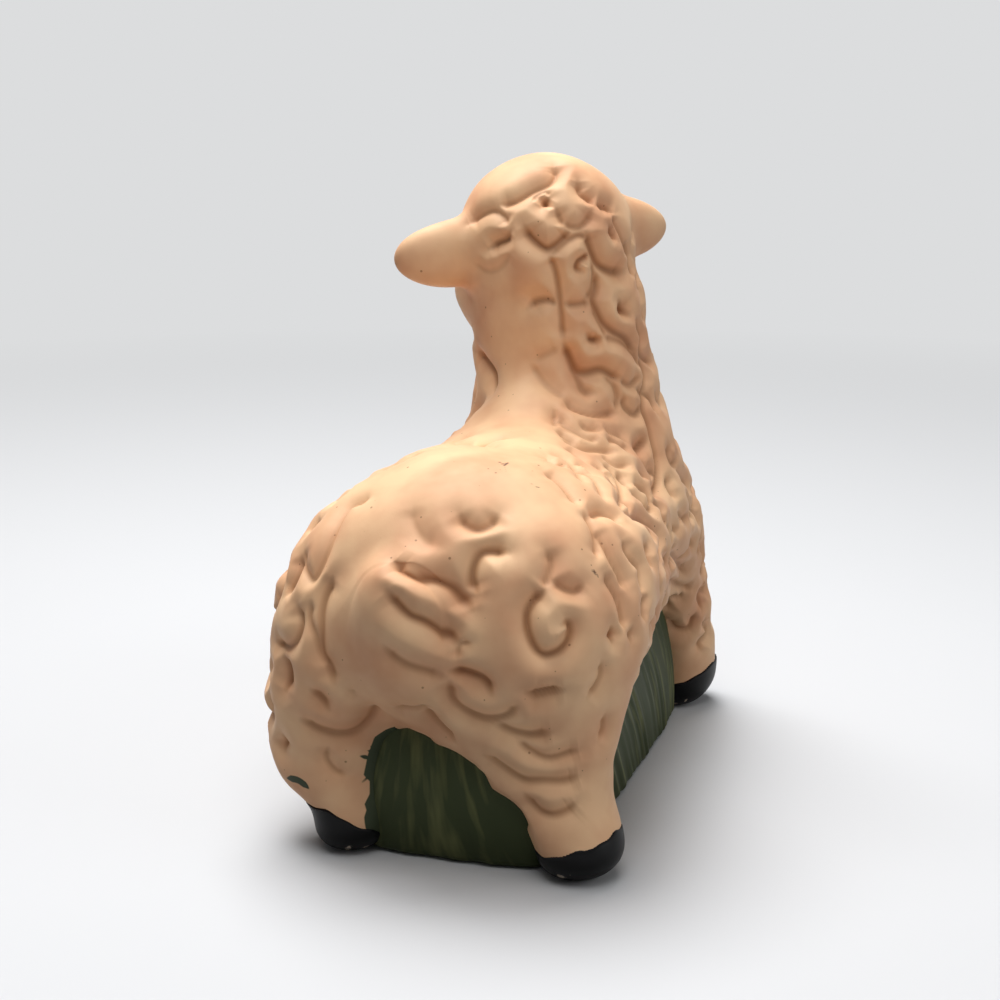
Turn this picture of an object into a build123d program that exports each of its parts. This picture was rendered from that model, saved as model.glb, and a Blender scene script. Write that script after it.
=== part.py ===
"""A clay sheep figurine, luted together from separate lumps and standing on a block of grass.

Millimetres, +Z up. The sheep faces -Y and its left side is +X. The origin is on the ground, in the
middle of the grass block's underside. Pieces that are luted together share a face and never overlap.
"""
from build123d import *
from math import cos, radians, sin
import os

os.makedirs("parts", exist_ok=True)

# Torso: a barrel along Y, wide at the rump and narrower at the chest
rump_reach = 33.0
chest_reach = 30.0
rump_width = 37.0
torso_height = 29.6
torso_axis_height = 25.0
torso_section_shares = (
    (0.01, 0.25), (0.04, 0.48), (0.12, 0.69), (0.27, 0.80), (0.50, 0.87), (0.72, 1.00),
    (0.84, 0.94), (0.93, 0.72), (0.975, 0.46), (0.994, 0.23),
)

# Tail: a drop of clay laid on the rump, hanging a little to the left
tail_width = 12.6
tail_thickness = 9.6
tail_length = 17.5
tail_left_shift = 2.4
tail_axis_height = 23.6
tail_set_in_share = 0.60
tail_lean = 12.0

# Neck: a tapered column from the shoulders to the head
neck_base_width = 25.0
neck_top_width = 17.0
neck_inset = 15.5
neck_base_height = 26.0
neck_foot_right_shift = 1.6
neck_top_left_shift = 0.8
neck_profile_shares = ((0.00, 1.00), (0.38, 0.77), (0.60, 0.48), (0.81, 0.38), (1.00, 0.00))

# Head: a skull turned and tilted to the left, and the wool cap over its crown and back
head_width = 17.0
head_length = 19.4
head_height = 19.2
head_left_shift = 2.3
head_inset = 17.0
head_centre_height = 57.5
head_turn = 38.0
head_tilt = 9.0
cap_thickness = 1.0
cap_edge_lean = 24.0
cap_edge_share = 0.22

# Muzzle: the bare snout, with two nostrils
muzzle_width = 11.4
muzzle_length = 16.0
muzzle_height = 10.4
muzzle_forward_share = 0.86
muzzle_drop_share = 0.30
muzzle_droop = 18.0
nostril_width = 1.5
nostril_spread_share = 0.42
nostril_rise_share = 0.30

# Ears: two scooped leaves, widest at the root, that stand out sideways
ear_length = 8.8
ear_width = 7.8
ear_thickness = 5.2
ear_sweep = 5.0
ear_lift = 3.0
ear_root_share = 1.00
ear_rise_share = 0.12
ear_scoop_share = 0.62
ear_scoop_place_share = 0.35

# Eyes: small pellets pressed into the face
eye_width = 2.3
eye_turn = 52.0
eye_rise = 16.0

# Legs: tapered posts that widen into rounded thighs and shoulders
rear_stance_width = 23.5
rear_stance_right_shift = 1.45
front_stance_width = 22.0
rear_foot_inset = 6.5
front_foot_inset = 3.5
rear_hoof_width = 8.8
front_hoof_width = 7.8
hoof_height = 3.2
hoof_slope = 7.0
hoof_edge_round = 0.7
shank_height = 10.0
rear_shank_width = 14.6
rear_shank_length = 11.4
rear_shank_lean_share = 1.0
front_shank_width = 8.6
front_shank_length = 8.2
front_shank_lean_share = 0.30
thigh_width = 18.4
thigh_length = 22.0
thigh_height = 13.5
thigh_axis_height = 20.5
thigh_spacing = 21.0
thigh_left_shift = 0.6
thigh_set_forward = 5.0
shoulder_width = 13.0
shoulder_length = 15.0
shoulder_height = 11.5
shoulder_axis_height = 19.5
shoulder_inset = 2.0
shoulder_set_back = 4.5
muscle_dome_shares = ((0.00, 1.00), (0.45, 0.90), (0.80, 0.60), (0.95, 0.31))

# Grass: a block that swells towards the ground
grass_width = 21.4
grass_overhang = 1.5
grass_height = 17.0
grass_corner = 4.0
grass_taper = 2.0
grass_edge_round = 0.9

# Wool: curls pressed into torso and neck, each a V groove along an arc, turned by a steady step
curl_radius = 2.4
curl_groove_width = 2.2
curl_depth = 0.8
curl_overrun = 0.8
curl_arc = 230.0
curl_turn_step = 137.5
torso_curl_rows = (
    (0.37, (-102, -72, 72, 102)),
    (0.52, (-88, -44, 0, 44, 88)),
    (0.66, (-66, -22, 22, 66)),
    (0.80, (-40, 0, 40)),
)
neck_curl_rows = (
    (0.36, (20, 92, 164, 236, 308)),
    (0.60, (56, 128, 200, 272, 344)),
    (0.82, (150, 200, 250)),
)


def ellipsoid(width, length, height):
    """A unit sphere scaled to full sizes along X, Y and Z."""
    return scale(Sphere(1), by=(width / 2, length / 2, height / 2))


def spun(points, axis, start_tangent, end_tangent):
    """A solid of revolution whose outline is a smooth curve through the points, closed along the axis."""
    outline = Spline(*points, tangents=[start_tangent, end_tangent])
    edges = [outline, Polyline(outline @ 1, *closing_points(points, axis), outline @ 0)]
    return revolve(make_face(edges), axis)


def oval(width, height):
    """An elliptic section of four quarter arcs, so that a loft through it has four faces."""
    quarters = [
        EllipticalCenterArc((0, 0), width / 2, height / 2, start_angle=start, arc_size=90)
        for start in range(0, 360, 90)
    ]
    return make_face(quarters)


def curl_cuts(shape, start, run, rows, ahead, aside):
    """Curl grooves on a shape, in rows of (place share along the run, angles from ahead towards aside).

    Each groove lies flat on the surface where a ray from the axis leaves the shape.
    """
    slope_width = curl_groove_width / 2 / curl_depth * (curl_depth + curl_overrun)
    outline = Polyline(
        (curl_radius - slope_width, 0, curl_overrun),
        (curl_radius + slope_width, 0, curl_overrun),
        (curl_radius, 0, -curl_depth),
        close=True,
    )
    groove = revolve(make_face(outline), Axis.Z, revolution_arc=curl_arc)
    cuts = []
    for place_share, angles in rows:
        for angle in angles:
            direction = ahead * cos(radians(angle)) + aside * sin(radians(angle))
            ray = Axis(start + run * place_share, direction)
            point, normal = shape.find_intersection_points(ray)[-1]
            flat = Plane(point, x_dir=run.cross(normal), z_dir=normal)
            cuts.append(flat * Rot(Z=len(cuts) * curl_turn_step) * groove)
    return cuts


def closing_points(points, axis):
    """The feet on the axis of an outline's ends, left out where an end already lies on the axis."""
    feet = []
    for point in (points[-1], points[0]):
        if point[0] > 0:
            feet.append((0, point[1]))
    return feet


# Places along the body
rear_foot_y = rump_reach - rear_foot_inset
front_foot_y = front_foot_inset - chest_reach

# Torso
torso_length = rump_reach + chest_reach
torso_sections = [
    Pos(0, torso_length * place_share - chest_reach, torso_axis_height)
    * Rot(X=90)
    * oval(rump_width * size_share, torso_height * size_share)
    for place_share, size_share in torso_section_shares
]
chest_tip = Vertex(0, -chest_reach, torso_axis_height)
rump_tip = Vertex(0, rump_reach, torso_axis_height)
torso = loft([chest_tip, *torso_sections, rump_tip])
torso_curls = curl_cuts(
    torso,
    Vector(0, -chest_reach, torso_axis_height),
    Vector(0, torso_length, 0),
    torso_curl_rows,
    Vector(0, 0, 1),
    Vector(1, 0, 0),
)

# Tail
tail_place = Pos(tail_left_shift, rump_reach - tail_thickness / 2 * tail_set_in_share, tail_axis_height)
tail_drop = tail_place * Rot(X=-tail_lean) * ellipsoid(tail_width, tail_thickness, tail_length)
tail = tail_drop - torso

# Head, in its own frame: facing -Y, left side +X
tilt = radians(head_tilt)
turn = radians(head_turn)
head_left = Vector(cos(tilt) * cos(turn), cos(tilt) * sin(turn), -sin(tilt))
head_up = Vector(sin(tilt) * cos(turn), sin(tilt) * sin(turn), cos(tilt))
head_centre = Vector(head_left_shift, head_inset - chest_reach, head_centre_height)
head_frame = Plane(origin=head_centre, x_dir=head_left, z_dir=head_up)
skull = ellipsoid(head_width, head_length, head_height)
wool_round = ellipsoid(
    head_width + 2 * cap_thickness, head_length + 2 * cap_thickness, head_height + 2 * cap_thickness
)
edge_plane = Plane.XZ.offset(head_length / 2 * cap_edge_share).rotated((-cap_edge_lean, 0, 0))
cap_round = split(wool_round, edge_plane, keep=Keep.BOTTOM)
cap = cap_round - skull

# Muzzle
muzzle_place = Pos(0, -head_length / 2 * muzzle_forward_share, -head_height / 2 * muzzle_drop_share)
snout = muzzle_place * Rot(X=muzzle_droop) * ellipsoid(muzzle_width, muzzle_length, muzzle_height)
nostril_place = muzzle_place * Rot(X=muzzle_droop)
nostrils = [
    nostril_place
    * Pos(
        side * muzzle_width / 2 * nostril_spread_share,
        -muzzle_length / 2 * (1 - nostril_spread_share**2 - nostril_rise_share**2) ** 0.5,
        muzzle_height / 2 * nostril_rise_share,
    )
    * Sphere(nostril_width / 2)
    for side in (1, -1)
]
snout = snout - nostrils - cap_round - skull


def ear(side):
    """An ear on one side: a leaf whose inner half is in the head, scooped on its front."""
    leaf = ellipsoid(2 * ear_length, ear_width, ear_thickness)
    scoop_place = Pos(side * ear_length * ear_scoop_place_share, 0, -ear_thickness * ear_scoop_share)
    scoop = scoop_place * ellipsoid(ear_length * ear_scoop_share, ear_width * ear_scoop_share, ear_thickness)
    root = Pos(side * head_width / 2 * ear_root_share, 0, head_height / 2 * ear_rise_share)
    pose = root * Rot(Z=-side * ear_sweep) * Rot(Y=-side * ear_lift)
    return pose * Rot(X=-90) * (leaf - scoop) - cap_round - skull


def eye(side):
    """An eye on one side: a pellet centred on the surface of the face."""
    turn_share = sin(radians(eye_turn))
    rise_share = sin(radians(eye_rise))
    forward_share = (1 - turn_share**2 - rise_share**2) ** 0.5
    place = Pos(
        side * head_width / 2 * turn_share, -head_length / 2 * forward_share, head_height / 2 * rise_share
    )
    return place * Sphere(eye_width / 2) - cap_round - skull - snout


# Neck
neck_foot = Vector(-neck_foot_right_shift, neck_inset - chest_reach, neck_base_height)
neck_axis = Vector(neck_top_left_shift, head_centre.Y, head_centre.Z) - neck_foot
neck_points = [
    (neck_top_width / 2 + (neck_base_width - neck_top_width) / 2 * flare_share, neck_axis.length * place_share)
    for place_share, flare_share in neck_profile_shares
]
neck_column = spun(neck_points, Axis.Y, (-1, 1), (-1, 1))
neck_frame = Plane(origin=neck_foot, x_dir=(1, 0, 0), z_dir=neck_axis)
neck_post = neck_frame * Rot(X=90) * neck_column
neck_curls = curl_cuts(neck_post, neck_foot, neck_axis, neck_curl_rows, Vector(0, -1, 0), Vector(1, 0, 0))
neck = neck_post - torso - head_frame * wool_round - head_frame * snout - neck_curls


def leg(foot_place, hoof_width, shank_size, shank_lean_share, muscle_size, muscle_place):
    """A whole leg with its hoof: one loft from the ground through the shank into a domed muscle."""
    muscle_width, muscle_length, dome_height = muscle_size
    lean = (muscle_place.position - foot_place.position) * shank_lean_share
    shank_place = foot_place * Pos(lean.X, lean.Y, shank_height)
    rings = [
        foot_place * Circle(hoof_width / 2 - hoof_edge_round),
        foot_place * Pos(0, 0, hoof_edge_round) * Circle(hoof_width / 2),
        foot_place * Pos(0, 0, hoof_height) * Circle(hoof_width / 2),
        shank_place * Ellipse(shank_size[0] / 2, shank_size[1] / 2),
    ]
    for rise_share, size_share in muscle_dome_shares:
        level = muscle_place * Pos(0, 0, dome_height * rise_share)
        rings.append(level * Ellipse(muscle_width / 2 * size_share, muscle_length / 2 * size_share))
    crown = muscle_place.position + Vector(0, 0, dome_height)
    return loft([*rings, Vertex(*crown)]) - torso - tail_drop - neck_post


legs = {}
for side, side_name in ((1, "left"), (-1, "right")):
    legs["rear_" + side_name] = leg(
        Pos(side * rear_stance_width / 2 - rear_stance_right_shift, rear_foot_y, 0),
        rear_hoof_width,
        (rear_shank_width, rear_shank_length),
        rear_shank_lean_share,
        (thigh_width, thigh_length, thigh_height),
        Pos(side * thigh_spacing / 2 + thigh_left_shift, rear_foot_y - thigh_set_forward, thigh_axis_height),
    )
    legs["front_" + side_name] = leg(
        Pos(side * front_stance_width / 2, front_foot_y, 0),
        front_hoof_width,
        (front_shank_width, front_shank_length),
        front_shank_lean_share,
        (shoulder_width, shoulder_length, shoulder_height),
        Pos(
            side * (front_stance_width / 2 - shoulder_inset),
            front_foot_y + shoulder_set_back,
            shoulder_axis_height,
        ),
    )

# Grass
grass_length = rear_foot_y - front_foot_y + 2 * grass_overhang
grass_place = Pos(0, (rear_foot_y + front_foot_y) / 2, 0)
grass_foot = RectangleRounded(grass_width, grass_length, grass_corner)
grass_top = RectangleRounded(grass_width - 2 * grass_taper, grass_length - 2 * grass_taper, grass_corner)
grass_block = loft([grass_place * grass_foot, grass_place * Pos(0, 0, grass_height) * grass_top])
grass_rim = grass_block.edges().group_by(Axis.Z)[0]
grass = fillet(grass_rim, grass_edge_round) - torso - tail - list(legs.values())

# Pieces by name
pieces = {
    "torso": torso - torso_curls,
    "tail": tail,
    "neck": neck,
    "head": head_frame * skull,
    "wool_cap": head_frame * cap,
    "muzzle": head_frame * snout,
    "left_ear": head_frame * ear(1) - neck_post,
    "right_ear": head_frame * ear(-1) - neck_post,
    "left_eye": head_frame * eye(1),
    "right_eye": head_frame * eye(-1),
    "grass_mound": grass,
}
for leg_name, whole_leg in legs.items():
    foot_y = rear_foot_y if leg_name.startswith("rear") else front_foot_y
    hoof_line = Plane((0, foot_y, hoof_height)).rotated((hoof_slope, 0, 0))
    pieces[leg_name + "_leg"] = split(whole_leg, hoof_line, keep=Keep.TOP)
    pieces[leg_name + "_hoof"] = split(whole_leg, hoof_line, keep=Keep.BOTTOM)

for name, piece in pieces.items():
    export_step(piece, "parts/" + name + ".step")
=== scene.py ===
import math
import bpy
import numpy as np
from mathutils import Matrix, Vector


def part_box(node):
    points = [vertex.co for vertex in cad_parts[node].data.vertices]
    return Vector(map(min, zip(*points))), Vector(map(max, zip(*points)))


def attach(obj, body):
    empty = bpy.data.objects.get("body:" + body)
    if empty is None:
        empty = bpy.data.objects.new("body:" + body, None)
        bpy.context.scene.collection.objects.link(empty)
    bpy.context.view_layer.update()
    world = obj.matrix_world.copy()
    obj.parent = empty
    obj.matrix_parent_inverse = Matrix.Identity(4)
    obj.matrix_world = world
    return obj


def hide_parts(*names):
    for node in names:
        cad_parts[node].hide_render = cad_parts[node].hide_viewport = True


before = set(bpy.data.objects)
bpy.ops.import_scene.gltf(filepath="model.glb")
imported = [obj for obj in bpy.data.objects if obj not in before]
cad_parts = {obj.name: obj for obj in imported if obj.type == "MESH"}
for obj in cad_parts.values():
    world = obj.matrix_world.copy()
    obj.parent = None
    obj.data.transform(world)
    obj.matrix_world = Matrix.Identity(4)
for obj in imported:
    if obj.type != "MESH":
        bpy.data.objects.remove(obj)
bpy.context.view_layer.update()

# Camera
# The view is from behind the sheep and from its right, a little above its back, with a short tele lens.
MM = 0.001
IMAGE_PIXELS = 1000
view_azimuth = math.radians(197.9)
view_elevation = math.radians(12.7)
view_distance = 202.4
view_target = np.array([4.0, -2.7, 30.0])
lens_mm = 64.8
sensor_mm = 36.0
view_back = np.array([
    math.sin(view_azimuth) * math.cos(view_elevation),
    -math.cos(view_azimuth) * math.cos(view_elevation),
    math.sin(view_elevation),
])
view_right = np.array([math.cos(view_azimuth), math.sin(view_azimuth), 0.0])
view_up = np.cross(view_back, view_right)
view_place = view_target + view_distance * view_back

camera_data = bpy.data.cameras.new("camera")
camera_data.lens = lens_mm
camera_data.sensor_width = sensor_mm
camera_data.clip_start = 0.01
camera = bpy.data.objects.new("camera", camera_data)
camera.location = Vector(view_place * MM)
camera.rotation_mode = "QUATERNION"
camera.rotation_quaternion = Vector(-view_back).to_track_quat("-Z", "Y")
bpy.context.scene.collection.objects.link(camera)
bpy.context.scene.camera = camera


# Clay body
# The sheep is lumps of clay luted with slip and wiped over with a wet finger, so they share one skin.
# Each lump is a field in millimetres, negative inside, with the size and place of its solid.
def corners(node):
    """Lowest and highest corner of a solid, in millimetres."""
    low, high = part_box(node)
    return np.array(low) / MM, np.array(high) / MM


def curve_through(knots, values):
    """A function of t: the cubic curve through the knots whose slopes are the local mean slopes."""
    knots, values = np.array(knots, float), np.array(values, float)
    slopes = np.gradient(values, knots)

    def curve(t):
        i = np.clip(np.searchsorted(knots, t) - 1, 0, len(knots) - 2)
        span = knots[i + 1] - knots[i]
        s = np.clip((t - knots[i]) / span, 0, 1)
        rise = values[i + 1] - values[i]
        bend_in, bend_out = span * slopes[i] - rise, rise - span * slopes[i + 1]
        return values[i] + s * rise + s * (1 - s) * ((1 - s) * bend_in + s * bend_out)

    return curve


def smooth_min(a, b, blend):
    """The lesser of two fields, rounded off where they differ by less than blend."""
    close = np.maximum(blend - np.abs(a - b), 0) / blend
    return np.minimum(a, b) - close * close * blend / 4


def smooth_max(a, b, blend):
    """The greater of two fields, rounded off where they differ by less than blend."""
    return -smooth_min(-a, -b, blend)


def ellipsoid_field(points, centre, half, axes):
    """Distance to an ellipsoid, to first order: k (k - 1) / |p / half^2|, with k = |p / half|."""
    local = (points - centre) @ np.array(axes).T
    k = np.linalg.norm(local / half, axis=-1)
    steep = np.linalg.norm(local / np.square(half), axis=-1)
    return k * (k - 1) / np.maximum(steep, 1e-9)


torso_low, torso_high = corners("torso")
torso_half = (torso_high - torso_low) / 2
torso_centre = (torso_high + torso_low) / 2
torso_girth = curve_through(
    (0.0, 0.04, 0.12, 0.27, 0.50, 0.72, 0.84, 0.93, 0.975, 1.0),
    np.square((0.0, 0.48, 0.69, 0.80, 0.87, 1.0, 0.94, 0.72, 0.46, 0.0)),
)


def torso_field(points):
    """A barrel along Y of elliptic section: (r^2 - g) / |gradient|, where g is the girth squared at y."""
    nudge = 0.01
    share = (points[:, 1] - torso_low[1]) / (2 * torso_half[1])
    slope = (torso_girth(share + nudge) - torso_girth(share - nudge)) / (2 * nudge)
    past_end = np.maximum(-share, 0) + np.maximum(share - 1, 0)
    girth = torso_girth(share) - 12 * past_end
    squash = torso_half[0] / torso_half[2]
    square = np.square(points[:, 0]) + np.square((points[:, 2] - torso_centre[2]) * squash)
    steep = slope * torso_half[0] ** 2 / (2 * torso_half[1])
    return (square - girth * torso_half[0] ** 2) / np.sqrt(4 * square + np.square(steep) + 1)


tail_half = np.array([6.3, 4.8, 8.75])
tail_lean = math.radians(12.0)
tail_centre = np.array([2.4, torso_high[1] - 2.88, 23.6])
tail_axes = np.array([
    [1, 0, 0],
    [0, math.cos(tail_lean), -math.sin(tail_lean)],
    [0, math.sin(tail_lean), math.cos(tail_lean)],
])

head_low, head_high = corners("head")
head_centre = (head_low + head_high) / 2
head_turn, head_tilt = math.radians(38.0), math.radians(9.0)
head_level = np.array([math.cos(head_turn), math.sin(head_turn), 0.0])
head_left = math.cos(head_tilt) * head_level - math.sin(head_tilt) * np.eye(3)[2]
head_up = math.sin(head_tilt) * head_level + math.cos(head_tilt) * np.eye(3)[2]
head_forward = np.cross(head_left, head_up)
head_axes = np.stack([head_left, head_forward, head_up])
skull_half = np.array([8.5, 9.7, 9.6])
cheek_half = np.array([9.6, 7.0, 6.0])
cheek_centre = head_centre + 4.0 * head_forward - 4.2 * head_up


def head_field(points):
    """The skull with the broad cheeks pressed out of it."""
    skull = ellipsoid_field(points, head_centre, skull_half, head_axes)
    return smooth_min(skull, ellipsoid_field(points, cheek_centre, cheek_half, head_axes), 3.0)


cap_thickness = np.array([1.6, 1.0, 1.0])
cap_centre = head_centre - 0.5 * head_left
cap_edge_lean = math.radians(24.0)
cap_edge_forward = 2.1
fringe_lobes, fringe_depth = 13, 1.3


def cap_field(points):
    """The wool over the skull, a cap thickness outside it, ended in front by a scalloped leaning edge."""
    local = (points - head_centre) @ head_axes.T
    angle = np.arctan2(local[:, 0], local[:, 2])
    scallop = fringe_depth * np.abs(np.sin(angle * fringe_lobes / 2))
    edge = local[:, 1] * math.cos(cap_edge_lean) - local[:, 2] * math.sin(cap_edge_lean)
    wool = ellipsoid_field(points, cap_centre, skull_half + cap_thickness, head_axes)
    return smooth_max(wool, edge - cap_edge_forward - scallop, 0.9)


muzzle_droop = math.radians(18.0)
muzzle_half = np.array([5.7, 8.0, 5.2])
muzzle_centre = head_centre + 8.34 * head_forward - 2.88 * head_up
muzzle_forward = math.cos(muzzle_droop) * head_forward - math.sin(muzzle_droop) * head_up
muzzle_up = math.cos(muzzle_droop) * head_up + math.sin(muzzle_droop) * head_forward
muzzle_axes = np.stack([head_left, muzzle_forward, muzzle_up])

ear_half = np.array([8.8, 3.9, 2.6])
ear_sweep = math.radians(5.0)
ear_hollow_half = np.array([3.6, 2.3, 2.2])
ear_hollow_along, ear_hollow_ahead = 3.4, 3.2
ear_settings = (("left", 1, math.radians(3), 1.1, 0.0), ("right", -1, math.radians(-7), 0.5, 1.1))
ear_places = {}
for side_name, side, ear_lift, ear_rise, ear_inset in ear_settings:
    ear_along = (
        side * math.cos(ear_sweep) * math.cos(ear_lift) * head_left
        + math.sin(ear_sweep) * math.cos(ear_lift) * head_forward + math.sin(ear_lift) * head_up
    )
    ear_ahead = head_forward - (head_forward @ ear_along) * ear_along
    ear_ahead /= np.linalg.norm(ear_ahead)
    ear_root = head_centre + side * (skull_half[0] - ear_inset) * head_left + ear_rise * head_up
    ear_places[side_name] = (ear_root, np.stack([ear_along, np.cross(ear_ahead, ear_along), ear_ahead]))


def ear_field(points, root, axes):
    """A leaf whose inner half is in the head, with a hollow pressed into its front."""
    leaf = ellipsoid_field(points, root, ear_half, axes)
    hollow_centre = root + ear_hollow_along * axes[0] + ear_hollow_ahead * axes[2]
    hollow = ellipsoid_field(points, hollow_centre, ear_hollow_half, axes)
    return smooth_max(leaf, -hollow, 0.9)


neck_foot = np.array([-1.6, head_centre[1] - 1.5, 26.0])
neck_top = np.array([0.8, head_centre[1], head_centre[2]])
neck_axis = neck_top - neck_foot
neck_radius = curve_through((0.0, 0.38, 0.60, 0.81, 1.0), (12.5, 11.6, 10.4, 10.0, 8.5))


def neck_field(points):
    """Distance to the neck's axis less its radius there, which falls from base to top."""
    along = np.clip((points - neck_foot) @ neck_axis / (neck_axis @ neck_axis), 0, 1)
    gap = np.linalg.norm(points - neck_foot - along[:, None] * neck_axis, axis=-1)
    return (gap - neck_radius(along)) * 0.95


front_blend, nape_width, nape_start, nape_run = 6.5, 15.0, 7.0, 8.0


def nape_blend(points):
    """Blend of neck and back: narrow in front, and wide where a thumb swept the clay behind the neck."""
    share = np.clip((points[:, 1] - neck_foot[1] - nape_start) / nape_run, 0, 1)
    return front_blend + (nape_width - front_blend) * share * share * (3 - 2 * share)


# Each ring: height, place across and along from the middle of the hoof, half width and half length
leg_rings = {
    "rear_left": (
        (0.0, 0.0, 0.0, 4.1, 4.3), (4.2, 0.1, -0.1, 4.2, 4.4), (7.8, 2.2, -1.3, 6.7, 5.6),
        (11.0, 2.4, -2.1, 7.3, 6.4), (14.0, 2.1, -2.5, 8.0, 7.4), (20.5, 0.6, -5.0, 9.0, 11.0),
    ),
    "rear_right": (
        (0.0, 0.0, 0.0, 4.4, 4.4), (3.2, -0.1, -0.2, 4.6, 4.5), (5.2, 1.0, -0.9, 5.3, 4.9),
        (7.7, 2.6, -1.5, 6.1, 5.4), (10.5, 4.8, -2.1, 8.0, 6.2), (13.2, 6.9, -2.5, 10.3, 7.2),
        (20.5, 4.6, -5.0, 9.6, 11.0),
    ),
    "front_left": (
        (0.0, 0.6, -0.5, 3.9, 4.6), (3.2, 0.9, -0.7, 4.1, 4.8), (10.0, 0.6, 0.3, 4.6, 5.2),
        (19.5, -2.0, 4.5, 6.8, 7.8),
    ),
    "front_right": (
        (0.0, -0.6, -0.5, 3.9, 4.6), (3.2, -0.9, -0.7, 4.1, 4.8), (10.0, -0.6, 0.3, 4.6, 5.2),
        (19.5, 2.0, 4.5, 6.8, 7.8),
    ),
}
muscle_domes = {"rear_left": 13.5, "rear_right": 13.5, "front_left": 11.5, "front_right": 11.5}
leg_places = {}
for leg_name, rings in leg_rings.items():
    hoof_low, hoof_high = corners(leg_name + "_hoof")
    foot = np.array([(hoof_low[0] + hoof_high[0]) / 2, (hoof_low[1] + hoof_high[1]) / 2, 0.0])
    height, across, along, half_width, half_length = np.array(rings).T
    centres = [foot[0] + across, foot[1] + along]
    leg_places[leg_name] = (foot, np.stack([height, *centres, half_width, half_length]))


def leg_field(points, rings, dome):
    """A post of elliptic section: centre and half sizes follow height through the rings, domed above."""
    level = np.clip(points[:, 2], 0, rings[0, -1])
    x, y, half_width, half_length = [curve_through(rings[0], column)(level) for column in rings[1:]]
    rise = np.maximum(points[:, 2] - rings[0, -1], 0)
    local = np.stack([points[:, 0] - x, points[:, 1] - y, rise], axis=1)
    size = np.stack([half_width, half_length, np.full(len(points), dome)], axis=1)
    k = np.linalg.norm(local / size, axis=1)
    return k * (k - 1) / np.maximum(np.linalg.norm(local / np.square(size), axis=1), 1e-9)


clay_fields = {
    "torso": (torso_field, 1.0),
    "neck": (neck_field, nape_blend),
    "head": (head_field, 2.0),
    "wool_cap": (cap_field, 0.6),
    "muzzle": (lambda points: ellipsoid_field(points, muzzle_centre, muzzle_half, muzzle_axes), 2.5),
    "tail": (lambda points: ellipsoid_field(points, tail_centre, tail_half, tail_axes), 2.0),
}
for side_name, place in ear_places.items():
    clay_fields[side_name + "_ear"] = (lambda points, place=place: ear_field(points, *place), 1.6)
for leg_name, (foot, rings) in leg_places.items():
    field = lambda points, rings=rings, dome=muscle_domes[leg_name]: leg_field(points, rings, dome)
    clay_fields[leg_name + "_leg"] = (field, 3.0)
sole_round = 4.0


def clay_field(points, lumps=tuple(clay_fields)):
    """Lumps as one body: their smooth least, cut off at the ground with a rounded edge."""
    body = np.full(len(points), 1e3)
    for lump in lumps:
        field, blend = clay_fields[lump]
        body = smooth_min(body, field(points), blend(points) if callable(blend) else blend)
    return smooth_max(body, -points[:, 2], sole_round)


def outward(field, points):
    """Unit gradient of a field by central differences."""
    step = 0.05
    slopes = []
    for axis in np.eye(3) * step:
        slopes.append(field(points + axis) - field(points - axis))
    slope = np.stack(slopes, axis=1)
    return slope / np.maximum(np.linalg.norm(slope, axis=1, keepdims=True), 1e-9)


def settle(field, points, rounds=4):
    """Points moved along the gradient until they lie on the field's surface."""
    for _ in range(rounds):
        points = points - field(points)[:, None] * outward(field, points)
    return points


def ball_grid(cuts):
    """Directions and quads of a cube blown up to a sphere: grids of equal angles that share edges."""
    angle = np.tan(np.linspace(-math.pi / 4, math.pi / 4, cuts + 1))
    u, v = np.meshgrid(angle, angle, indexing="ij")
    one = np.ones_like(u)
    faces = [(one, u, v), (-one, v, u), (v, one, u), (u, -one, v), (u, v, one), (v, u, -one)]
    spots = np.concatenate([np.stack(face, axis=-1).reshape(-1, 3) for face in faces])
    corner = np.arange((cuts + 1) ** 2).reshape(cuts + 1, cuts + 1)
    quad = [corner[:-1, :-1], corner[1:, :-1], corner[1:, 1:], corner[:-1, 1:]]
    quad = np.stack(quad, axis=-1).reshape(-1, 4)
    quads = np.concatenate([quad + face * (cuts + 1) ** 2 for face in range(len(faces))])
    _, first, again = np.unique(np.round(spots, 6), axis=0, return_index=True, return_inverse=True)
    spots = spots[first]
    return spots / np.linalg.norm(spots, axis=1, keepdims=True), again.reshape(-1)[quads]


def cast_out(field, core, rays, far):
    """How far rays from a core run before they leave a field, by halving."""
    near, away = np.zeros(len(rays)), np.broadcast_to(far, len(rays)).astype(float)
    for _ in range(15):
        half = (near + away) / 2
        inside = field(core + half[:, None] * rays) < 0
        near, away = np.where(inside, half, near), np.where(inside, away, half)
    return near


def core_line(lump, rays):
    """Where each ray of a lump starts: on a line through its middle, further along for rays along it."""
    centre, stretch = lump_cores[lump]
    return centre + np.outer(rays @ stretch / max(np.linalg.norm(stretch), 1e-9), stretch)


lump_cores = {
    "torso": (torso_centre, np.array([0, 16.0, 0])),
    "neck": ((neck_foot + neck_top) / 2, neck_axis * 0.3),
    "head": (head_centre, 1.0 * head_forward - 1.0 * head_up),
    "wool_cap": (head_centre - 2.0 * head_forward, np.zeros(3)),
    "muzzle": (muzzle_centre, 2.0 * muzzle_forward),
    "tail": (tail_centre, np.array([0, 0, 4.0])),
}
for side_name, (root, axes) in ear_places.items():
    lump_cores[side_name + "_ear"] = (root + 2.0 * axes[0] - 0.6 * axes[2], 5.0 * axes[0])
for leg_name, (foot, rings) in leg_places.items():
    muscle = np.array([rings[1, -1], rings[2, -1], rings[0, -1]])
    lump_cores[leg_name + "_leg"] = ((foot + muscle) / 2, (muscle - foot) * 0.4)


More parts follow.
